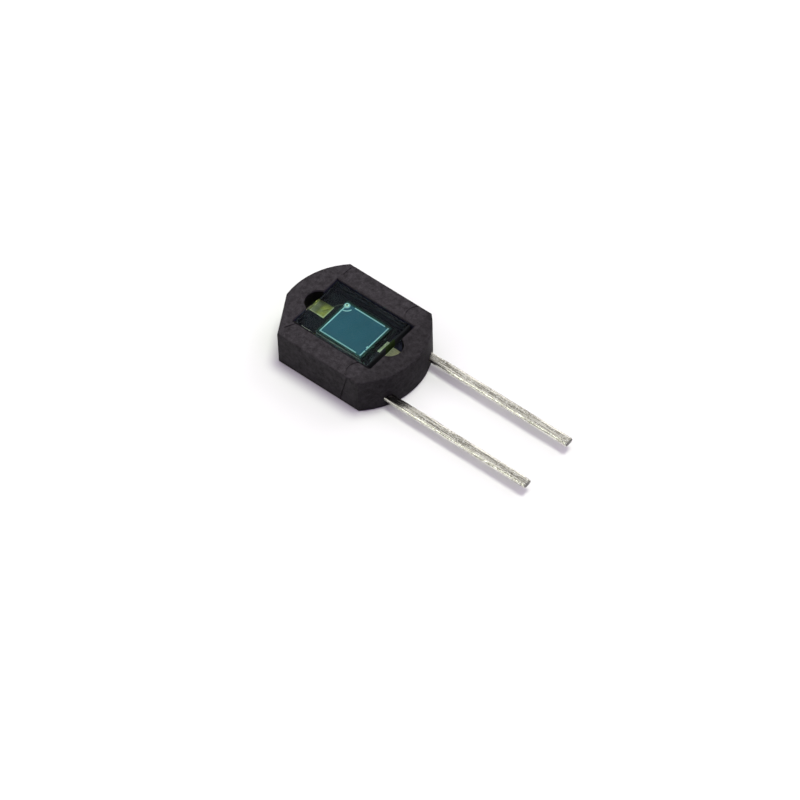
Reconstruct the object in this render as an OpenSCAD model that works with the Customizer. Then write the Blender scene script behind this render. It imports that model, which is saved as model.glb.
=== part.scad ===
// Visible-light photodiode: a black moulded housing with a filter plate in its window,
// a silicon chip under the filter, and a lead frame whose two tinned leads leave one end.
// Millimetres. The origin is the centre of the back face, +X runs along the leads,
// +Y goes to the side of the anode lead, and +Z points out of the window.

/* [Housing] */
// Diameter across the two round ends
body_d = 8; // [7.8:0.1:9]
// Width across the two long flats
body_w = 5.92; // [5.6:0.02:6.6]
// Height from the back face to the rim
body_h = 2.22; // [2.1:0.02:2.6]
// Distance from the centre to the index flat
index_reach = 3.73; // [3.68:0.01:3.9]
// Turn of the index flat from the round end, in degrees
index_turn = 30; // [27:1:34]
// Radius on the rim and on the back edge
edge_r = 0.08; // [0.04:0.01:0.15]

/* [Window] */
// Length of the window along the leads
window_l = 5.16; // [4.9:0.02:5.3]
// Width of the window
window_w = 3.58; // [3.5:0.02:3.7]
// Radius of the round notch at each end of the window
notch_r = 0.75; // [0.6:0.01:0.85]
// How far each notch goes past the end of the window
notch_reach = 0.5; // [0.35:0.01:0.55]
// Width of the ledge under each long side of the filter
ledge_w = 0.2; // [0.12:0.01:0.24]

/* [Filter] */
// Gap between the filter and the window's end away from the leads
filter_end_gap = 0.04; // [0.02:0.01:0.3]
// Gap between the filter and the window's end by the leads
filter_lead_gap = 0.31; // [0.05:0.01:0.4]
// Thickness of the filter plate
filter_t = 0.48; // [0.4:0.01:0.55]
// Depth of the filter's face below the rim
filter_recess = 0.12; // [0.06:0.01:0.18]
// Gap between the filter and each long wall of the window
filter_gap = 0.04; // [0.02:0.01:0.08]
// Bevel on the filter's upper edges
filter_bevel = 0.06; // [0.02:0.01:0.1]
// Thickness of the adhesive between the filter and its ledges
bond_line = 0.02; // [0.01:0.005:0.04]

/* [Chip] */
// Length of the chip
chip_l = 2.95; // [2.8:0.01:3.1]
// Width of the chip
chip_w = 2.54; // [2.4:0.01:2.66]
// Thickness of the chip
chip_t = 0.25; // [0.2:0.01:0.3]
// Air between the chip and the filter
headroom = 0.14; // [0.12:0.01:0.2]
// Length of the contact ring, between the middles of its lines
ring_l = 2.65; // [2.4:0.01:2.7]
// Width of the contact ring, between the middles of its lines
ring_w = 2.24; // [2:0.01:2.3]
// Width of the contact ring's line
ring_line = 0.06; // [0.04:0.01:0.1]
// Thickness of the metal film on the chip
film_t = 0.01; // [0.01:0.002:0.02]
// Diameter of the round bond pad on the contact ring
bond_pad_d = 0.34; // [0.24:0.01:0.36]
// Radius of the metal arc round the bond pad
pad_arc_r = 0.36; // [0.3:0.01:0.42]
// Thickness of the paste under the chip
attach_t = 0.03; // [0.02:0.005:0.05]
// How far the paste spreads past the chip
attach_spread = 0.2; // [0.1:0.01:0.24]

/* [Bond wire] */
// Diameter of the bond wire
wire_d = 0.03; // [0.024:0.002:0.04]
// Diameter of the ball bond
ball_d = 0.2; // [0.12:0.01:0.22]
// Height of the ball bond
ball_h = 0.07; // [0.05:0.005:0.08]
// Clearance between the top of the wire's loop and the filter
loop_gap = 0.03; // [0.02:0.005:0.05]

/* [Leads] */
// Distance between the middles of the two leads
lead_pitch = 3.36; // [3:0.02:3.5]
// Width of a lead
lead_w = 0.48; // [0.4:0.02:0.56]
// Thickness of the lead frame
lead_t = 0.25; // [0.2:0.01:0.3]
// Height of a lead's underside above the back face
lead_z = 0.5; // [0.35:0.01:0.6]
// Length of a lead past the round end of the housing
lead_free = 8.55; // [6:0.05:12]
// Radius along the edges of a lead
lead_edge_r = 0.06; // [0.03:0.005:0.09]

/* [Lead frame] */
// Width of the lead frame's rail and arms inside the housing
frame_w = 0.42; // [0.34:0.01:0.46]
// Length over which a lead rises inside the end wall
set_run = 0.28; // [0.22:0.01:0.34]
// Straight length of a lead inside the wall before it rises
lead_anchor = 0.21; // [0.16:0.01:0.26]
// Width of the die strip
strip_w = 0.82; // [0.7:0.01:0.9]
// Width of the wire's bond post
post_w = 0.88; // [0.7:0.01:0.94]
// Offset of the die strip and the bond post towards the anode lead
strip_y = 0.22; // [0.1:0.01:0.26]
// Gap between the wire's bond post and the chip
post_gap = 0.4; // [0.26:0.01:0.5]

/* [Mould lines] */
// Width of the mould's witness lines
line_w = 0.06; // [0.04:0.01:0.09]
// Depth of the mould's witness lines
line_depth = 0.05; // [0.02:0.005:0.07]
// Radius of the round mould inserts at the lead end
insert_r = 0.7; // [0.62:0.01:0.8]

/* [Hidden] */
$fn = 64;
// Overshoot of a cut past the face that it opens
past = 0.5;

// Heights, worked down from the rim
filter_z = body_h - filter_recess - filter_t;
ledge_z = filter_z - bond_line;
chip_top = filter_z - headroom;
chip_z = chip_top - chip_t;
floor_z = chip_z - attach_t;
film_z = chip_top + film_t;

// Window and filter in plan
filter_w = window_w - 2 * filter_gap;
filter_l = window_l - filter_end_gap - filter_lead_gap;
filter_x = (filter_end_gap - filter_lead_gap) / 2;
cavity_w = window_w - 2 * ledge_w;
notch_x = window_l / 2 + notch_reach - notch_r;

// Lead frame: the leads leave low in the end wall, and rise in it to the cavity's floor
frame_z = floor_z - lead_t;
lead_tip = body_d / 2 + lead_free;
wall_x = sqrt(pow(body_d / 2, 2) - pow((lead_pitch + lead_w) / 2, 2));
set_x0 = wall_x - lead_anchor;
set_x1 = set_x0 - set_run;
set_angle = atan2(frame_z - lead_z, set_run);
set_mitre = lead_t * tan(set_angle / 2);
arm_x0 = set_x1 - frame_w;
rail_cover = 0.1;
rail_y0 = window_w / 2 + rail_cover;
rail_y1 = rail_y0 + frame_w;
post_x0 = -window_l / 2 - rail_cover - frame_w;
post_x1 = -chip_l / 2 - post_gap;

// Bond wire: from the ball by the ring's far corner down to the bond post
ball_at = [-ring_l / 2 + 0.03, ring_w / 2 - 0.12];
foot_at = [(post_x0 + 3 * post_x1) / 4, strip_y];
wire_r = wire_d / 2;
loop_top = filter_z - loop_gap - wire_r;
loop_peak = 0.25;
wire_steps = 20;
wire_sides = 8;
foot_size = [0.12, 0.07, 0.02];

// Breaks in the contact ring, the tab on its end line, and half the sweep of the pad's arc, in degrees
break_at_ball = 0.46;
break_at_corner = 0.26;
end_break = 0.08;
end_break_y = 0.42;
tab_size = [0.1, 0.12];
tab_y = -0.55;
arc_turn = -50;
arc_half = 38;

// Mould lines: round inserts at the lead end, straight ones at the other
insert_x = window_l / 2 - 0.25;
insert_y = window_w / 2 + 0.56;
side_seam_x = insert_x - 0.6;
side_seam_lean = 14;
seam_l = 0.62;
// Side, distances from the window's end and side, and turn in degrees, of each straight line
corner_seams = [[-1, 0.28, 0.08, -26], [1, 0.09, 0.34, -3]];

// Section of width w and height h standing on the X axis, with its corners rounded
module rounded_section(w, h, r) {
    translate([-w / 2 + r, 0]) square([w - 2 * r, h]);
    translate([-w / 2, r]) square([w, h - 2 * r]);
    for (side = [-1, 1], y = [r, h - r])
        translate([side * (w / 2 - r), y]) circle(r);
}

// Section of width w and height h standing on the X axis, with its upper corners bevelled
module bevelled_section(w, h, bevel) {
    polygon([[-w / 2, 0], [w / 2, 0], [w / 2, h - bevel], [w / 2 - bevel, h],
             [-w / 2 + bevel, h], [-w / 2, h - bevel]]);
}

// Rectangle centred on the origin
module centred(l, w) {
    square([l, w], center = true);
}

// A section's width goes to Y and its height to Z, and it runs along X from x0 to x1
module along_x(x0, x1) {
    translate([x0, 0, 0]) rotate([90, 0, 90]) linear_extrude(x1 - x0) children();
}

// A section's width goes to X and its height to Z, and it runs along Y, centred
module along_y(length) {
    rotate([90, 0, 0]) linear_extrude(length, center = true) children();
}

// Outer form of the moulding: a disc with two flats and an index flat, all edges rounded
module body_block() {
    intersection() {
        rotate_extrude() intersection() {
            rounded_section(body_d, body_h, edge_r);
            square([body_d, body_h]);
        }
        along_x(-body_d, body_d) rounded_section(body_w, body_h, edge_r);
        rotate([0, 0, index_turn]) along_y(2 * body_d)
            translate([(body_d - index_reach) / 2, 0])
                rounded_section(body_d + index_reach, body_h, edge_r);
    }
}

// Window, the narrower cavity below its ledges, and the notches down to the cavity's floor
module window_cut() {
    translate([0, 0, ledge_z]) linear_extrude(body_h) centred(window_l, window_w);
    translate([0, 0, floor_z]) linear_extrude(body_h) {
        centred(window_l, cavity_w);
        for (end = [-1, 1]) translate([end * notch_x, 0]) circle(notch_r);
    }
}

// Lines that the mould's inserts leave on the rim and on the long sides
module witness_lines() {
    translate([0, 0, body_h - line_depth]) linear_extrude(past)
        for (side = [-1, 1]) {
            intersection() {
                translate([insert_x, side * insert_y]) difference() {
                    circle(insert_r + line_w / 2);
                    circle(insert_r - line_w / 2);
                }
                translate([0, side * (window_w + body_w) / 4])
                    centred(2 * (insert_x - insert_r / 2), (body_w - window_w) / 2 - 2 * edge_r);
            }
        }
    for (seam = corner_seams)
        translate([seam[1] - window_l / 2, seam[0] * (window_w / 2 + seam[2]), body_h - line_depth])
            rotate(seam[0] * 90 + seam[3])
                translate([0, -line_w / 2, 0]) cube([seam_l, line_w, past]);
    for (side = [-1, 1])
        translate([side_seam_x, side * body_w / 2, body_h / 2]) rotate([0, side_seam_lean, 0])
            cube([line_w, 2 * line_depth, body_h - 2 * edge_r], center = true);
}

module housing() {
    color([0.2, 0.19, 0.21]) difference() {
        body_block();
        window_cut();
        cathode_shape();
        anode_shape();
        witness_lines();
    }
}

module filter_glass() {
    color([0.1, 0.35, 0.38, 0.5]) translate([filter_x, 0, filter_z]) intersection() {
        along_x(-filter_l, filter_l) bevelled_section(filter_w, filter_t, filter_bevel);
        along_y(2 * filter_w) bevelled_section(filter_l, filter_t, filter_bevel);
    }
}

module filter_adhesive() {
    strip = filter_w / 2 - cavity_w / 2;
    color([0.75, 0.78, 0.7]) for (side = [-1, 1])
        translate([filter_x, side * (cavity_w + strip) / 2, ledge_z])
            linear_extrude(bond_line) centred(filter_l, strip);
}

module chip() {
    color([0.16, 0.34, 0.38])
        translate([0, 0, chip_z]) linear_extrude(chip_t) centred(chip_l, chip_w);
}

// The paste under the chip runs out to a soft-cornered border
module die_attach() {
    border_l = chip_l + 2 * attach_spread;
    border_w = chip_w + 2 * attach_spread;
    color([0.1, 0.11, 0.11]) translate([0, -border_w / 2, floor_z])
        linear_extrude(attach_t) rounded_section(border_l, border_w, attach_spread);
}

// Metal line round the active area, open beside the ball and by the opposite corner
module contact_ring() {
    color([0.72, 0.84, 0.82]) translate([0, 0, chip_top]) linear_extrude(film_t) {
        difference() {
            centred(ring_l + ring_line, ring_w + ring_line);
            centred(ring_l - ring_line, ring_w - ring_line);
            translate([(break_at_ball - ring_l) / 2, ring_w / 2])
                centred(break_at_ball, 2 * ring_line);
            translate([(ring_l - ring_line - break_at_corner) / 2, -ring_w / 2])
                centred(break_at_corner, 2 * ring_line);
            translate([ring_l / 2, end_break_y - ring_w / 2]) centred(2 * ring_line, end_break);
        }
        translate(ball_at) circle(bond_pad_d / 2);
        translate([ring_l / 2 - tab_size[0], tab_y]) square(tab_size);
        pad_arc();
    }
}

// Part of a ring round the bond pad, on the side of the active area
module pad_arc() {
    reach = 2 * pad_arc_r;
    translate(ball_at) rotate(arc_turn) intersection() {
        difference() {
            circle(pad_arc_r + ring_line / 2);
            circle(pad_arc_r - ring_line / 2);
        }
        polygon([[0, 0], [reach, reach * tan(arc_half)], [reach, -reach * tan(arc_half)]]);
    }
}

// Height of the wire's middle at a share s of its way from the ball to the foot
function wire_height(s) =
    s < loop_peak
    ? film_z + ball_h / 2 + (loop_top - film_z - ball_h / 2) * sin(90 * s / loop_peak)
    : floor_z + wire_r
      + (loop_top - floor_z - wire_r) * (1 + cos(180 * (s - loop_peak) / (1 - loop_peak))) / 2;

function wire_point(s) =
    let (at = ball_at + s * (foot_at - ball_at)) [at[0], at[1], wire_height(s)];

// Ring of points round the wire at share s, square to its run
function wire_ring(s) =
    let (step = 0.5 / wire_steps,
         ahead = wire_point(min(s + step, 1)) - wire_point(max(s - step, 0)),
         along = ahead / norm(ahead),
         across = [along[1], -along[0], 0] / norm([along[0], along[1]]),
         up = cross(across, along))
    [for (k = [0:wire_sides - 1])
        wire_point(s) + wire_r * (cos(360 * k / wire_sides) * across
                                  + sin(360 * k / wire_sides) * up)];

module wire_tube() {
    rings = [for (i = [0:wire_steps]) each wire_ring(i / wire_steps)];
    first_cap = [for (k = [0:wire_sides - 1]) k];
    last_cap = [for (k = [wire_sides - 1:-1:0]) wire_steps * wire_sides + k];
    walls = [for (i = [0:wire_steps - 1], k = [0:wire_sides - 1])
        let (a = i * wire_sides, b = a + wire_sides, n = (k + 1) % wire_sides)
        [a + k, b + k, b + n, a + n]];
    polyhedron(rings, concat([first_cap, last_cap], walls));
}

module bond_wire() {
    foot_turn = atan2(foot_at[1] - ball_at[1], foot_at[0] - ball_at[0]);
    color([0.8, 0.79, 0.74]) {
        translate([ball_at[0], ball_at[1], film_z]) rotate_extrude()
            polygon([[0, 0], [0.4 * ball_d, 0], [0.48 * ball_d, 0.15 * ball_h], [ball_d / 2, 0.35 * ball_h],
                     [0.47 * ball_d, 0.6 * ball_h], [0.38 * ball_d, 0.8 * ball_h],
                     [0.24 * ball_d, 0.86 * ball_h], [0.14 * ball_d, ball_h], [0, ball_h]]);
        wire_tube();
        translate([foot_at[0], foot_at[1], floor_z]) rotate(foot_turn)
            translate([-foot_size[0] / 2, -foot_size[1] / 2, 0]) cube(foot_size);
    }
}

// Flat of the lead frame between two corners, at the level of the cavity's floor
module frame_flat(x0, y0, x1, y1) {
    translate([x0, y0, frame_z]) cube([x1 - x0, y1 - y0, lead_t]);
}

// One lead: a straight bar outside, and inside the wall a rise to the lead frame's level
module lead(y) {
    bar_x0 = set_x0 + set_mitre;
    translate([0, y, 0]) {
        translate([0, 0, lead_z]) along_x(bar_x0, lead_tip)
            rounded_section(lead_w, lead_t, lead_edge_r);
        along_y(lead_w) polygon([
            [bar_x0 + lead_edge_r, lead_z], [set_x0, lead_z], [set_x1, frame_z], [arm_x0, frame_z],
            [arm_x0, floor_z], [set_x1 + set_mitre, floor_z], [bar_x0, lead_z + lead_t],
            [bar_x0 + lead_edge_r, lead_z + lead_t]]);
    }
}

// The near lead turns in the end wall to the die strip, which ends under the chip
module cathode_shape() {
    lead(-lead_pitch / 2);
    frame_flat(arm_x0, -(lead_pitch + lead_w) / 2, set_x1, strip_y + strip_w / 2);
    frame_flat(-ring_l / 2, strip_y - strip_w / 2, set_x1, strip_y + strip_w / 2);
}

// The far lead runs back inside the far wall, and turns to the bond post at the other end
module anode_shape() {
    lead(lead_pitch / 2);
    frame_flat(arm_x0, (lead_pitch - lead_w) / 2, set_x1, rail_y1);
    frame_flat(post_x0, rail_y0, set_x1, rail_y1);
    frame_flat(post_x0, strip_y - post_w / 2, post_x0 + frame_w, rail_y1);
    frame_flat(post_x0, strip_y - post_w / 2, post_x1, strip_y + post_w / 2);
}

module cathode_lead() {
    color([0.78, 0.77, 0.73]) cathode_shape();
}

module anode_lead() {
    color([0.78, 0.77, 0.73]) anode_shape();
}

housing();
filter_glass();
filter_adhesive();
chip();
contact_ring();
bond_wire();
die_attach();
cathode_lead();
anode_lead();
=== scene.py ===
# Looks of a visible-light photodiode: a grained black moulding, a green filter plate over a
# blue-coated silicon chip, a bond wire, and two tinned leads, on a plain pale floor.
# Blender works in metres, so lengths are written as millimetres times MM.
import math

import bmesh
import bpy
from mathutils import Matrix, Vector, noise


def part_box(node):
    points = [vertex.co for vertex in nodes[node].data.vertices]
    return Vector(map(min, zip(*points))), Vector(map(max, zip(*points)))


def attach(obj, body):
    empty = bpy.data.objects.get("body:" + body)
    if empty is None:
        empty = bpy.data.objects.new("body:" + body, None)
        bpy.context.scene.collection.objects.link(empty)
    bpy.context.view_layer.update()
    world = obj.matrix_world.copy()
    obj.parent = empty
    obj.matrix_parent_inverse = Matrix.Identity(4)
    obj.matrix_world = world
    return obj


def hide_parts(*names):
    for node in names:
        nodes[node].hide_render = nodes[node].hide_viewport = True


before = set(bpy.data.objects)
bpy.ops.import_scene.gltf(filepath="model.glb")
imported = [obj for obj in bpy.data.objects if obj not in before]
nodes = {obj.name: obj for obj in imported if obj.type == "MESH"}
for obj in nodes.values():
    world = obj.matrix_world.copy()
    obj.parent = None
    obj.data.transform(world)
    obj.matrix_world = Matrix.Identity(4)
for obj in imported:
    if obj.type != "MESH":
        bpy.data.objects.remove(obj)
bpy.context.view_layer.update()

MM = 0.001

# The photograph's camera, fitted to the housing's outline
PICTURE_SIDE = 800
FOCAL_PIXELS = 4293.3
VIEW_AZIMUTH = 40.646
VIEW_ELEVATION = 51.116
VIEW_ROLL = -1.766
VIEW_DISTANCE = 219.684 * MM
VIEW_ASIDE = 2.301 * MM
VIEW_UP = -2.520 * MM
SENSOR_WIDTH = 36.0
CLIP_SHARE = 0.1

# Bars of the leads: share of the strip's section, spacing and points of the mesh, depth of the cut
# inside the wall, and distances within which points are one or belong to an end
BAR_SHARE = 0.985
BAR_STEP = 0.04 * MM
BAR_POINTS = 44
CUT_DEPTH = 0.05 * MM
WELD = 0.0001 * MM
TIP_BAND = 0.01 * MM
POST_BAND = 0.04 * MM

# Coat of tin: thickness on the sides and on the faces, where it starts, and the length that it takes
COAT_SIDE = 0.045 * MM
COAT_FACE = 0.03 * MM
COAT_START = 0.6 * MM
COAT_RUN = 0.9 * MM

# Exponents of a lead's section without and with its coat: 2 is an ellipse, and higher is squarer
BAR_CORNER = 6.0
COAT_CORNER = 2.5

# Lumps of the coat: height, how often they come along, across and through the lead, and a factor
# for the lead's own shift in the noise
LUMPS = ((0.014 * MM, 0.8, 0.9, 0.6, 1),
         (0.009 * MM, 2.0, 1.6, 1.0, 3),
         (0.005 * MM, 0.7, 4.0, 3.0, 5))
LEAD_SHIFTS = {"cathode_lead": 1.7, "anode_lead": 23.1}

# Cut ends of the leads: the taper and its length, and the depth, place and width of the pinch
TIP_TAPER = 0.1
TIP_LENGTH = 0.05 * MM
PINCH_DEPTH = 0.05
PINCH_PLACE = 0.2 * MM
PINCH_WIDTH = 0.06 * MM

# Adhesive: how far it stays off the glass, the mesh's spacing, and how its inner edge wanders
GLASS_OFF = 0.0015 * MM
GLUE_STEP = 0.08 * MM
GLUE_WANDER = 0.03 * MM
GLUE_WAVES = 1.7
GLUE_SHIFT = 7.0

# Moulding, in plain millimetres: the gap round the filter, slack of the masks, reach of the notches
# past the filter, the painted shade line on the near rim, and where painted shade darkens it towards
# the leads
WINDOW_GAP = 0.04
MASK_SLACK = 0.01
NOTCH_REACH = 0.6
RIM_LINE = 0.08
LEAD_END = (2.0, 3.0)

# Filter, in plain millimetres: the band that its bevels take up, where its edges get painted shade,
# and how much narrower than the bond post the strip's painted light is in the rough end
EDGE_BAND = 0.065
STRIP_TRIM = 0.15

# Pale line painted on the chip's near side as a highlight, in plain millimetres below the chip's top
LINE_TOP = (0.06, 0.08)
LINE_FOOT = (0.23, 0.2)

# Dark place of the contact ring, in plain millimetres before its end and along Y
BREAK_START = 0.25
BREAK_END = 0.07
BREAK_SIDE = 0.9

# Ball bond: its radius, where its bright rim of painted highlight starts and where it ends in radii,
# and in plain millimetres where the wire turns darker past the bond post, as painted shade
BALL_RADIUS = 0.1 * MM
BALL_RIM = (0.45, 0.8)
BALL_END = (1.0, 1.3)
WIRE_TURN = 0.1

# Plating of the lead frame, in plain millimetres: how far along X the strip is seen through the
# filter, where it is painted lighter than in the notch, its painted lit side, the change from the
# post to the strip, and the post's pale and dark places, which are painted light and shade
STRIP_SEEN = 1.95
STRIP_SOFT = 0.05
STRIP_LIT = (0.2, -0.15)
POST_TO_STRIP = (-1.0, 1.0)
POST_PALE = (-2.3, -2.6)
POST_SHADE = 0.35
POST_END = (0.09, 0.03)
POST_NEAR = (0.03, 0.1)

# Painted reflection of the black housing on the near lead's top, in plain millimetres past the
# housing
HOUSING_REFLECTION_RUN = (0.9, 0.3)

BLACK = (0.0, 0.0, 0.0)
FLOOR_HALF = 1.5

# Light tent: its brightness low down and overhead, with the heights between which it changes
TENT_COLOUR = (1.0, 0.98, 0.97)
TENT_LOW = 0.2
TENT_HIGH = 0.51
TENT_RISE = (-0.05, 0.75)

# Card low on the far side, and a brighter band of the tent that the leads mirror
FAR_CARD = 0.75
FAR_SPREAD = (0.3, 0.9)
PANEL = 0.66
PANEL_LEFT = (-0.75, -0.5)
PANEL_RIGHT = (-0.1, -0.35)

# Dark opening of the tent that level faces mirror
OPENING_DEPTH = 0.6
OPENING_INNER = math.radians(3)
OPENING_OUTER = math.radians(11)

# Softboxes: place and width in metres, watts, colour, and whether reflections show them
WARM = (0.98, 1.06, 0.88)
WHITE = (1.0, 0.98, 1.0)
LAVENDER = (1.08, 0.45, 1.6)
SOFTBOXES = {
    "top_softbox": ((0.03, 0.1, 0.485), 0.2, 2.0, WARM, False),
    "far_softbox": ((0.1, 0.4, 0.3), 0.3, 0.7, WHITE, False),
    "right_softbox": ((0.4, 0.0, 0.3), 0.4, 0.2, LAVENDER, False),
    "fill_softbox": ((0.0, 0.0, 0.6), 1.2, 0.8, LAVENDER, False),
    "left_softbox": ((-0.3, -0.28, 0.3), 0.25, 0.33, WARM, True),
}


# Node trees written as sums

class Socket:
    """An output of a node that can be used in sums; each operator adds one Math node."""

    def __init__(self, tree, out):
        self.tree = tree
        self.out = out

    def math(self, operation, *values):
        return self.tree.add("ShaderNodeMath", {"operation": operation}, dict(enumerate(values)))

    def __add__(self, other):
        return self.math("ADD", self, other)

    def __radd__(self, other):
        return self.math("ADD", other, self)

    def __sub__(self, other):
        return self.math("SUBTRACT", self, other)

    def __rsub__(self, other):
        return self.math("SUBTRACT", other, self)

    def __mul__(self, other):
        return self.math("MULTIPLY", self, other)

    def __rmul__(self, other):
        return self.math("MULTIPLY", other, self)

    def __abs__(self):
        return self.math("ABSOLUTE", self)

    def __lt__(self, other):
        return self.math("LESS_THAN", self, other)

    def __gt__(self, other):
        return self.math("GREATER_THAN", self, other)


class Tree:
    """A node tree, and the few nodes that the finishes and the world are made of."""

    def __init__(self, tree):
        self.tree = tree

    def add(self, kind, settings=None, inputs=None, output=0):
        """A node of this kind; settings are set first, then the values or links of its sockets."""
        made = self.tree.nodes.new(kind)
        for name, value in (settings or {}).items():
            if name == "stops":
                ramp = made.color_ramp.elements
                while len(ramp) < len(value):
                    ramp.new(1.0)
                for stop, (position, colour) in zip(ramp, value):
                    stop.position = position
                    stop.color = (*colour, 1.0)
            else:
                setattr(made, name, value)
        for key, value in (inputs or {}).items():
            self.feed(made.inputs[key], value)
        return Socket(self, made.outputs[output])

    def feed(self, socket, value):
        if isinstance(value, Socket):
            self.tree.links.new(value.out, socket)
        elif socket.type == "RGBA":
            socket.default_value = (*value[:3], 1.0)
        else:
            socket.default_value = value

    def axis(self, vector, name):
        return self.add("ShaderNodeSeparateXYZ", None, {0: vector}, name)

    def vector(self, operation, *values, output=0):
        sockets = dict(enumerate(values))
        return self.add("ShaderNodeVectorMath", {"operation": operation}, sockets, output)

    def noise(self, vector, scale, detail=2.0, roughness=0.5):
        return self.add("ShaderNodeTexNoise", None, {
            "Vector": vector, "Scale": scale, "Detail": detail, "Roughness": roughness}, "Fac")

    def ramp(self, value, *stops):
        return self.add("ShaderNodeValToRGB", {"stops": stops}, {0: value}, "Color")

    def step(self, value, low, high):
        """0 at low and 1 at high, smooth between."""
        return self.add("ShaderNodeMapRange", {"interpolation_type": "SMOOTHSTEP"}, {
            "Value": value, "From Min": low, "From Max": high})

    def larger(self, first, second):
        return first.math("MAXIMUM", first, second)

    def mix(self, factor, first, second):
        return self.add("ShaderNodeMix", {"data_type": "RGBA"}, {0: factor, 6: first, 7: second}, 2)


class Finish(Tree):
    """One material, with a Principled shader whose inputs are set by name."""

    def __init__(self, name):
        self.material = bpy.data.materials.new(name)
        self.material.use_nodes = True
        super().__init__(self.material.node_tree)
        self.shader = self.tree.nodes["Principled BSDF"]

    def set(self, values):
        for name, value in values.items():
            self.feed(self.shader.inputs[name], value)
        return self.material

    def place(self):
        """The point on the piece, in millimetres of the part's frame."""
        point = self.add("ShaderNodeTexCoord", output="Object")
        return self.vector("MULTIPLY", point, (1 / MM, 1 / MM, 1 / MM))

    def facing(self, name):
        """One axis of the surface's direction in the part's frame."""
        return self.axis(self.add("ShaderNodeTexCoord", output="Normal"), name)

    def upright(self):
        """1 on walls, and 0 on level faces."""
        return abs(self.facing("Z")) < 0.5

    def bump(self, height, strength, distance):
        return self.add("ShaderNodeBump", None, {
            "Height": height, "Strength": strength, "Distance": distance}, "Normal")


# Finishes

def box_mm(node):
    """Lowest and highest corner of a CAD node, in millimetres."""
    return [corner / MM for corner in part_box(node)]


def moulding_finish():
    """Grained black, with painted shade on its sides, towards the leads and as a line on the near
    rim, painted light on the window's walls, near-black painted shade on the notch walls, and other
    tones in the cavity.
    """
    low, high = box_mm("filter_glass")
    f = Finish("moulding_black")
    p = f.place()
    x, y, z = (f.axis(p, name) for name in "XYZ")
    grain = f.noise(p, 14.0, 3.0, 0.65)
    mottle = f.noise(p, 3.6, 4.0, 0.6)
    tone = f.ramp(mottle * 0.6 + grain * 0.4,
                  (0.36, (0.0125, 0.011, 0.0125)), (0.64, (0.039, 0.0355, 0.04)))
    wall = f.upright()
    inside = (abs(x) < NOTCH_REACH - low.x) * (abs(y) < high.y + WINDOW_GAP + MASK_SLACK)
    # Painted shade: walls outside the window darker than the top.
    tone = f.mix(0.12 * wall * (1 - inside), tone, BLACK)
    # Painted shade: darker towards the end with the leads.
    tone = f.mix(0.3 * f.step(x, *LEAD_END), tone, BLACK)
    # Painted shade: a dark line on the top along the window's near rim, where the gap's shadow
    # falls.
    near = low.y - WINDOW_GAP
    rim = (y < near) * (y > near - RIM_LINE) * (abs(x) < -low.x) * (z > high.z)
    tone = f.mix(0.9 * rim, tone, (0.001, 0.001, 0.002))
    # Painted light: the window's walls lighter than the rest of the moulding.
    tone = f.mix(wall * inside, tone, (0.055, 0.051, 0.056))
    in_notch = 1 - (abs(x) < WINDOW_GAP + MASK_SLACK - low.x)
    cavity = f.mix(wall, (0.0115, 0.012, 0.022), (0.021, 0.022, 0.04))
    # Painted shade: the walls of the notches near black.
    cavity = f.mix(wall * in_notch, cavity, (0.004, 0.004, 0.004))
    deep = box_mm("die_attach")[0].z - WINDOW_GAP
    tone = f.mix(inside * (z < high.z) * (z > deep), tone, cavity)
    return f.set({
        "Base Color": tone, "Roughness": 0.62 + 0.2 * grain, "Specular IOR Level": 0.08,
        "Normal": f.bump(grain, 0.6, 0.03 * MM)})


def filter_finish():
    """Green glass with painted shade along its two long edges, and a rough end by the leads whose
    tone is painted: dark as shade, and green where the strip's light shows through.
    """
    low, high = box_mm("filter_glass")
    post_near, post_far = (side / MM for side in post_corner()[1:])
    f = Finish("filter_green")
    p = f.place()
    x, y = f.axis(p, "X"), f.axis(p, "Y")
    cloud = f.noise(p, 0.6)
    tone = f.ramp(cloud, (0.3, (0.75, 0.91, 0.77)), (0.7, (0.77, 0.93, 0.79)))
    # Painted shade: dark bands along the far and near edges, darkest at the near edge before the
    # chip.
    tone = f.mix(y > high.y - EDGE_BAND, tone, (0.3, 0.4, 0.4))
    before_chip = x < box_mm("chip")[0].x
    near_edge = f.mix(before_chip, (0.03, 0.045, 0.045), (0.42, 0.48, 0.48))
    tone = f.mix(y < low.y + EDGE_BAND, tone, near_edge)
    # Painted tone on the rough end: dark as painted shade, and green where the strip's light is
    # painted through it.
    end = x > high.x - EDGE_BAND
    by_strip = (y > post_near) * (y < post_far - STRIP_TRIM)
    end_tone_painted = f.mix(by_strip, (0.1, 0.11, 0.12), (0.1, 0.16, 0.055))
    tone = f.mix(end, tone, end_tone_painted)
    return f.set({"Base Color": tone, "Metallic": end, "Roughness": 0.9 * end,
                  "Transmission Weight": 1.0, "IOR": 1.52, "Specular Tint": (0.06, 0.065, 0.07)})


def adhesive_finish():
    f = Finish("adhesive")
    cloud = f.noise(f.place(), 4.0, 3.0)
    tone = f.ramp(cloud, (0.3, (0.012, 0.014, 0.024)), (0.7, (0.018, 0.02, 0.034)))
    return f.set({"Base Color": tone, "Roughness": 0.8, "Specular IOR Level": 0.1})


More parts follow.
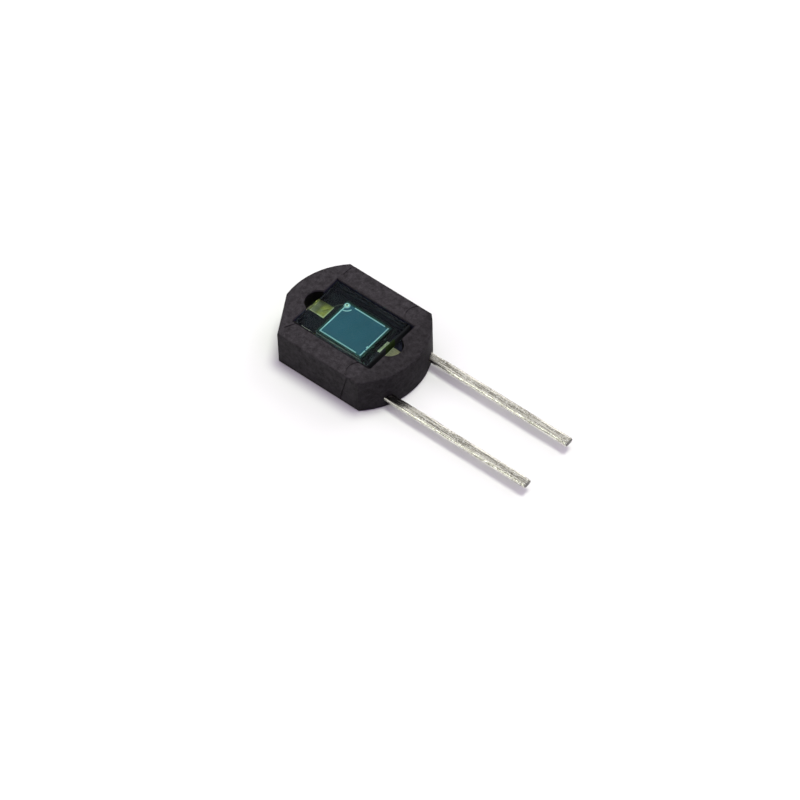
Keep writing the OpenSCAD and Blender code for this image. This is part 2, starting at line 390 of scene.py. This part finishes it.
def chip_finish():
    """Coated active area inside the contact ring, a darker margin outside it, and dark sawn sides
    with a pale line painted on the near side as a highlight.
    """
    ring_low, ring_high = box_mm("contact_ring")
    top = box_mm("chip")[1].z
    f = Finish("silicon_coated")
    p = f.place()
    x, y, z = (f.axis(p, name) for name in "XYZ")
    inside = (abs(x) < ring_high.x) * (abs(y) < -ring_low.y)
    cloud = f.noise(p, 1.1)
    speck = f.noise(p, 18.0)
    active = f.ramp(cloud, (0.3, (0.017, 0.083, 0.167)), (0.7, (0.023, 0.094, 0.192)))
    margin = f.ramp(speck, (0.3, (0.006, 0.031, 0.038)), (0.7, (0.009, 0.04, 0.048)))
    # Painted highlight: a pale band on the near side; all other side faces are dark.
    sawn = f.ramp(speck, (0.3, (0.66, 0.74, 0.84)), (0.7, (0.95, 1.0, 1.0)))
    line = f.step(z, top - LINE_TOP[0], top - LINE_TOP[1])
    line = line * f.step(z, top - LINE_FOOT[0], top - LINE_FOOT[1])
    sawn = f.mix(line * (f.facing("Y") < -0.5), (0.008, 0.022, 0.022), sawn)
    wall = f.upright()
    tone = f.mix(wall, f.mix(inside, margin, active), sawn)
    return f.set({"Base Color": tone, "Roughness": 0.4 + 0.2 * wall, "Specular IOR Level": 0.2})


def film_finish():
    """Pale metal line, dark for a short stretch just before its far corner by the leads."""
    end = box_mm("contact_ring")[1].x
    f = Finish("metal_film")
    p = f.place()
    x, y = f.axis(p, "X"), f.axis(p, "Y")
    grain = f.noise(p, 22.0)
    tone = f.ramp(grain, (0.3, (0.26, 0.48, 0.66)), (0.7, (0.35, 0.6, 0.82)))
    # A dark stretch on the ring's far line before its end.
    ring_break = (x > end - BREAK_START) * (x < end - BREAK_END) * (y > BREAK_SIDE)
    tone = f.mix(ring_break, tone, (0.006, 0.05, 0.055))
    return f.set({"Base Color": tone, "Metallic": 0.1, "Roughness": 0.4 + 0.2 * grain})


def wire_finish():
    """A ball with a bright rim of painted highlight round a dark centre of painted shade, and a wire
    darkened as painted shade.
    """
    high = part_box("bond_wire")[1]
    ball = ((high.x - BALL_RADIUS) / MM, (high.y - BALL_RADIUS) / MM, 0.0)
    post_end = post_corner()[0] / MM
    f = Finish("bond_metal")
    p = f.place()
    grain = f.noise(p, 30.0)
    level = f.vector("MULTIPLY", p, (1, 1, 0))
    reach = f.vector("DISTANCE", level, ball, output="Value") * (MM / BALL_RADIUS)
    tone = f.ramp(grain, (0.3, (0.8, 0.93, 0.96)), (0.7, (0.94, 1.0, 1.0)))
    # Painted highlight and shade: a bright rim round a dark centre of the ball.
    tone = f.mix(f.step(reach, *BALL_RIM), (0.06, 0.16, 0.17), tone)
    # Painted shade: the wire darker than gold, and near black past the bond post.
    past_post = f.step(f.axis(p, "X"), post_end, post_end + WIRE_TURN)
    wire_shaded = f.mix(past_post, (0.24, 0.21, 0.05), (0.05, 0.05, 0.04))
    tone = f.mix(f.step(reach, *BALL_END), tone, wire_shaded)
    return f.set({"Base Color": tone, "Metallic": 0.3, "Roughness": 0.3 + 0.14 * grain})


def paste_finish():
    f = Finish("dark_paste")
    cloud = f.noise(f.place(), 9.0, 3.0)
    tone = f.ramp(cloud, (0.3, (0.007, 0.009, 0.013)), (0.7, (0.012, 0.015, 0.02)))
    return f.set({"Base Color": tone, "Roughness": 0.65, "Specular IOR Level": 0.1,
                  "Normal": f.bump(cloud, 0.4, 0.02 * MM)})


def post_corner():
    """End of the bond post by the chip, and its near and far sides."""
    low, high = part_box("chip")
    post = [v.co for v in nodes["anode_lead"].data.vertices if v.co.x < low.x and v.co.y < high.y]
    end = max(c.x for c in post)
    tip = [c.y for c in post if c.x > end - POST_BAND]
    return end, min(tip), max(tip)


def plated_finish():
    """Plating of the lead frame in the cavity: yellowish at the bond post, paler by the chip, with
    painted light and shade: the strip lighter under the filter than in the notch, a pale place by
    the left notch, shade towards the post's far side, and highlights along its end and near edges.
    """
    end, near, far = (place / MM for place in post_corner())
    f = Finish("plated")
    p = f.place()
    x, y = f.axis(p, "X"), f.axis(p, "Y")
    grain = f.noise(f.vector("MULTIPLY", p, (3.0, 9.0, 9.0)), 2.0, 3.0)
    stain_and_reflection = f.noise(p, 2.4, 3.0)
    post = f.ramp(grain, (0.3, (0.2, 0.17, 0.03)), (0.7, (0.34, 0.3, 0.07)))
    # Painted light and shade: the strip lighter under the filter, with a lit side, than in the
    # notch.
    strip = f.ramp(grain, (0.3, (0.13, 0.135, 0.076)), (0.7, (0.235, 0.238, 0.14)))
    covered = f.ramp(grain, (0.3, (0.27, 0.27, 0.22)), (0.7, (0.45, 0.43, 0.36)))
    covered = f.mix(0.4 * f.step(y, *STRIP_LIT), covered, (0.75, 0.74, 0.62))
    seen = f.step(x, STRIP_SEEN + STRIP_SOFT, STRIP_SEEN - STRIP_SOFT)
    tone = f.mix(f.step(x, *POST_TO_STRIP), post, f.mix(seen, strip, covered))
    # Painted light: a pale place on the post by the left notch.
    tone = f.mix(f.step(x, *POST_PALE), tone, (0.22, 0.22, 0.15))
    tone = f.mix(f.step(stain_and_reflection, 0.45, 0.65) * 0.6, tone, (0.14, 0.15, 0.1))
    at_post = x < 0.0
    # Painted shade: darker towards the post's far side.
    far_side = f.step(y, far - POST_SHADE, far) * at_post
    tone = f.mix(0.8 * far_side, tone, (0.06, 0.06, 0.015))
    # Painted highlight: pale bands along the post's end and near edge.
    end_edge = f.step(x, end - POST_END[0], end - POST_END[1]) * at_post
    near_edge = (1 - f.step(y, near + POST_NEAR[0], near + POST_NEAR[1])) * at_post
    tone = f.mix(0.75 * f.larger(end_edge, near_edge), tone, (0.46, 0.45, 0.32))
    return f.set({"Base Color": tone, "Metallic": 0.3, "Roughness": 0.3 + 0.3 * grain,
                  "Normal": f.bump(grain, 0.25, 0.02 * MM)})


def tin_finish():
    """Hot-dipped tin: streaked along the lead, with dull patches, dark specks, light specks that are
    painted glints, and a painted reflection of the black housing on the near lead's top.
    """
    start = box_mm("housing")[1].x
    f = Finish("tinned")
    p = f.place()
    streak = f.noise(f.vector("MULTIPLY", p, (0.35, 9.0, 9.0)), 1.6, 4.0, 0.6)
    patch = f.noise(f.vector("MULTIPLY", p, (1.0, 2.0, 2.0)), 1.8, 3.0)
    speck = f.noise(f.vector("MULTIPLY", p, (4.0, 9.0, 9.0)), 2.2, 3.0, 0.6)
    dull = f.step(patch, 0.5, 0.68)
    tone = f.ramp(streak, (0.4, (0.3, 0.288, 0.246)), (0.58, (0.97, 0.955, 0.86)))
    tone = f.mix(dull * 0.35, tone, (0.46, 0.43, 0.37))
    tone = f.mix(f.step(speck, 0.6, 0.68) * 0.85, tone, (0.1, 0.09, 0.075))
    # Painted glints: light specks.
    tone = f.mix(f.step(speck, 0.46, 0.39) * 0.9, tone, (1.0, 1.0, 0.96))
    # Painted reflection of the black housing: the near lead's top dark just past it.
    stain_and_reflection = f.step(f.axis(p, "X"), start + HOUSING_REFLECTION_RUN[0], start + HOUSING_REFLECTION_RUN[1])
    stain_and_reflection = stain_and_reflection * f.step(f.facing("Z"), 0.4, 0.9) * (f.axis(p, "Y") < 0.0)
    tone = f.mix(0.75 * stain_and_reflection, tone, (0.06, 0.055, 0.055))
    cut_end = f.step(f.facing("X"), 0.6, 0.9)
    tone = f.mix(cut_end, tone, (0.1, 0.095, 0.085))
    return f.set({
        "Base Color": tone, "Metallic": 1.0, "Roughness": 0.14 + 0.16 * streak + 0.14 * dull,
        "Normal": f.bump(streak * 0.5 + speck * 0.8, 0.7, 0.02 * MM)})


def floor_finish():
    f = Finish("pale_floor")
    cloud = f.noise(f.place(), 0.05)
    tone = f.ramp(cloud, (0.3, (0.638, 0.643, 0.643)), (0.7, (0.652, 0.657, 0.657)))
    return f.set({"Base Color": tone, "Roughness": 0.9, "Specular IOR Level": 0.1})


# Pieces

def dress(node, material):
    slots = nodes[node].data.materials
    slots.clear()
    slots.append(material)


def add_piece(name, work, slot, stands_for, *materials):
    """A mesh object of this bmesh, on the part's body, that stands for a CAD node."""
    mesh = bpy.data.meshes.new(name)
    work.normal_update()
    work.to_mesh(mesh)
    work.free()
    piece = bpy.data.objects.new(name, mesh)
    bpy.context.scene.collection.objects.link(piece)
    for material in materials:
        mesh.materials.append(material)
    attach(piece, "root")
    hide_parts(stands_for)


def ease(value, low, high):
    """0 at low and 1 at high, smooth between."""
    share = min(max((value - low) / (high - low), 0.0), 1.0)
    return share * share * (3 - 2 * share)


def signed_power(value, power):
    return math.copysign(abs(value) ** power, value)


def tip_section(node):
    """Lowest and highest Y and Z of a lead's end face, and the end's X."""
    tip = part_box(node)[1].x
    ends = [v.co for v in nodes[node].data.vertices if v.co.x > tip - TIP_BAND]
    low = Vector((min(c.y for c in ends), min(c.z for c in ends)))
    high = Vector((max(c.y for c in ends), max(c.z for c in ends)))
    return low, high, tip


def bar_ring(work, x, to_tip, coat, middle, half, shift):
    """One ring of points round a lead; coat goes from 0, the bare bar, to 1, the full coat."""
    along = x / MM + shift
    power = BAR_CORNER + (COAT_CORNER - BAR_CORNER) * coat
    half_y = half.x * BAR_SHARE + coat * COAT_SIDE
    half_z = half.y * BAR_SHARE + coat * COAT_FACE
    taper = 1 - TIP_TAPER * ease(to_tip, TIP_LENGTH, 0.0)
    pinch = 1 - PINCH_DEPTH * coat * math.exp(-((to_tip - PINCH_PLACE) / PINCH_WIDTH) ** 2)
    ring = []
    for k in range(BAR_POINTS):
        angle = 2 * math.pi * k / BAR_POINTS
        c, s = math.cos(angle), math.sin(angle)
        y, z = signed_power(c, 2 / power), signed_power(s, 2 / power)
        out_y, out_z = (signed_power(part, 2 - 2 / power) for part in (c, s))
        out = Vector((out_y / half_y, out_z / half_z)).normalized()
        lump = coat * sum(
            height * noise.noise(Vector((along * often_x, y * often_y, z * often_z + turn * shift)))
            for height, often_x, often_y, often_z, turn in LUMPS)
        ring.append(work.verts.new((
            x, middle.x + (y * half_y + out.x * lump) * taper * pinch,
            middle.y + (z * half_z + out.y * lump) * taper * pinch)))
    return ring


def lead_piece(node, shift, plated, tin):
    """The lead frame as it is inside the wall, and outside it a bar with a lumpy coat of tin."""
    low, high, tip = tip_section(node)
    middle, half = (low + high) / 2, (high - low) / 2
    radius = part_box("housing")[1].x
    wall = math.sqrt(radius ** 2 - max(abs(low.x), abs(high.x)) ** 2)
    cut = wall - CUT_DEPTH
    work = bmesh.new()
    work.from_mesh(nodes[node].data)
    bmesh.ops.remove_doubles(work, verts=work.verts, dist=WELD)
    bmesh.ops.bisect_plane(work, geom=work.verts[:] + work.edges[:] + work.faces[:],
                           plane_co=(cut, 0, 0), plane_no=(1, 0, 0), clear_outer=True)
    bmesh.ops.holes_fill(work, edges=[e for e in work.edges if e.is_boundary])
    for face in work.faces:
        face.smooth = False
    rings = []
    count = int((tip - cut) / BAR_STEP)
    for i in range(count + 1):
        x = cut + (tip - cut) * i / count
        coat = ease(x, wall + COAT_START, wall + COAT_START + COAT_RUN)
        rings.append(bar_ring(work, x, tip - x, coat, middle, half, shift))
    for first, second in zip(rings, rings[1:]):
        for k in range(BAR_POINTS):
            n = (k + 1) % BAR_POINTS
            face = work.faces.new((first[k], first[n], second[n], second[k]))
            face.smooth = True
            face.material_index = 1
    for ring, order in ((rings[0], -1), (rings[-1], 1)):
        work.faces.new(ring[::order]).material_index = 1
    bmesh.ops.recalc_face_normals(work, faces=work.faces[:])
    add_piece(node + "_tinned", work, "tinned", node, plated, tin)


def adhesive_piece():
    """Two strips of adhesive between the filter and its ledges, with uneven inner edges."""
    low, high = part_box("filter_adhesive")
    outer = high.y
    inner = min(abs(v.co.y) for v in nodes["filter_adhesive"].data.vertices)
    top = high.z - GLASS_OFF
    work = bmesh.new()
    count = int((high.x - low.x) / GLUE_STEP)
    for side in (-1, 1):
        rows = []
        for i in range(count + 1):
            x = low.x + (high.x - low.x) * i / count
            wave = noise.noise(Vector((x / MM * GLUE_WAVES, side * GLUE_SHIFT, 0.0)))
            edge = inner + GLUE_WANDER * (0.5 + 0.5 * wave)
            section = ((edge, low.z), (outer, low.z), (outer, top), (edge, top))
            rows.append([work.verts.new((x, side * y, z)) for y, z in section])
        for first, second in zip(rows, rows[1:]):
            for k in range(4):
                n = (k + 1) % 4
                work.faces.new((first[k], first[n], second[n], second[k]))
        work.faces.new(rows[0])
        work.faces.new(rows[-1])
    bmesh.ops.recalc_face_normals(work, faces=work.faces[:])
    add_piece("adhesive_strips", work, "adhesive", "filter_adhesive", adhesive_finish())


def dress_part():
    dress("housing", moulding_finish())
    dress("filter_glass", filter_finish())
    dress("chip", chip_finish())
    dress("contact_ring", film_finish())
    dress("bond_wire", wire_finish())
    dress("die_attach", paste_finish())
    plated, tin = plated_finish(), tin_finish()
    for node, shift in LEAD_SHIFTS.items():
        lead_piece(node, shift, plated, tin)
    adhesive_piece()


# Floor, light and camera

def view_axes():
    """The camera's right, up and back directions."""
    azimuth, elevation, roll = (math.radians(a) for a in (VIEW_AZIMUTH, VIEW_ELEVATION, VIEW_ROLL))
    back = Vector((math.sin(azimuth) * math.cos(elevation),
                   -math.cos(azimuth) * math.cos(elevation), math.sin(elevation)))
    level = Vector((math.cos(azimuth), math.sin(azimuth), 0))
    upright = back.cross(level)
    right = level * math.cos(roll) + upright * math.sin(roll)
    up = upright * math.cos(roll) - level * math.sin(roll)
    return right, up, back


def add_floor():
    corners = [(-1, -1), (1, -1), (1, 1), (-1, 1)]
    mesh = bpy.data.meshes.new("floor")
    mesh.from_pydata([(FLOOR_HALF * x, FLOOR_HALF * y, 0) for x, y in corners], [], [(0, 1, 2, 3)])
    floor = bpy.data.objects.new("floor", mesh)
    bpy.context.scene.collection.objects.link(floor)
    mesh.materials.append(floor_finish())


def add_lamp(name, place, size, watts, colour, mirrored):
    """A round softbox that faces the part; only a mirrored one shows in reflections."""
    lamp = bpy.data.lights.new(name, "AREA")
    lamp.color = colour
    lamp.shape = "DISK"
    lamp.size = size
    lamp.energy = watts
    made = bpy.data.objects.new(name, lamp)
    made.visible_glossy = mirrored
    made.location = place
    made.rotation_euler = (-Vector(place)).to_track_quat("-Z", "Y").to_euler()
    bpy.context.scene.collection.objects.link(made)


def add_world():
    """A light tent: bright overhead and low on the far side, with a band and a dark opening."""
    world = bpy.data.worlds.new("studio")
    world.use_nodes = True
    bpy.context.scene.world = world
    t = Tree(world.node_tree)
    way = t.add("ShaderNodeTexCoord", output="Generated")
    back = view_axes()[2]
    away = Vector((-back.x, -back.y, 0)).normalized()
    far = t.vector("DOT_PRODUCT", way, away, output="Value")
    low = TENT_LOW + FAR_CARD * t.step(far, *FAR_SPREAD)
    dome = low + (TENT_HIGH - low) * t.step(t.axis(way, "Z"), *TENT_RISE)
    aside = t.axis(way, "X")
    band = t.step(aside, *PANEL_LEFT) * t.step(aside, *PANEL_RIGHT)
    mirrored = t.vector("DOT_PRODUCT", way, (-back.x, -back.y, back.z), output="Value")
    opening = t.step(mirrored, math.cos(OPENING_OUTER), math.cos(OPENING_INNER))
    background = world.node_tree.nodes["Background"]
    t.feed(background.inputs["Color"], TENT_COLOUR)
    t.feed(background.inputs["Strength"], dome * (1 + PANEL * band) * (1 - OPENING_DEPTH * opening))


def add_camera():
    right, up, back = view_axes()
    camera = bpy.data.cameras.new("camera")
    camera.sensor_width = SENSOR_WIDTH
    camera.lens = FOCAL_PIXELS / PICTURE_SIDE * SENSOR_WIDTH
    camera.clip_start = CLIP_SHARE * VIEW_DISTANCE
    made = bpy.data.objects.new("camera", camera)
    spot = right * VIEW_ASIDE + up * VIEW_UP + back * VIEW_DISTANCE
    made.matrix_world = Matrix.Translation(spot) @ Matrix((right, up, back)).transposed().to_4x4()
    bpy.context.scene.collection.objects.link(made)
    bpy.context.scene.camera = made


dress_part()
add_floor()
add_world()
for name, settings in SOFTBOXES.items():
    add_lamp(name, *settings)
add_camera()
bpy.context.scene.view_settings.view_transform = "Standard"
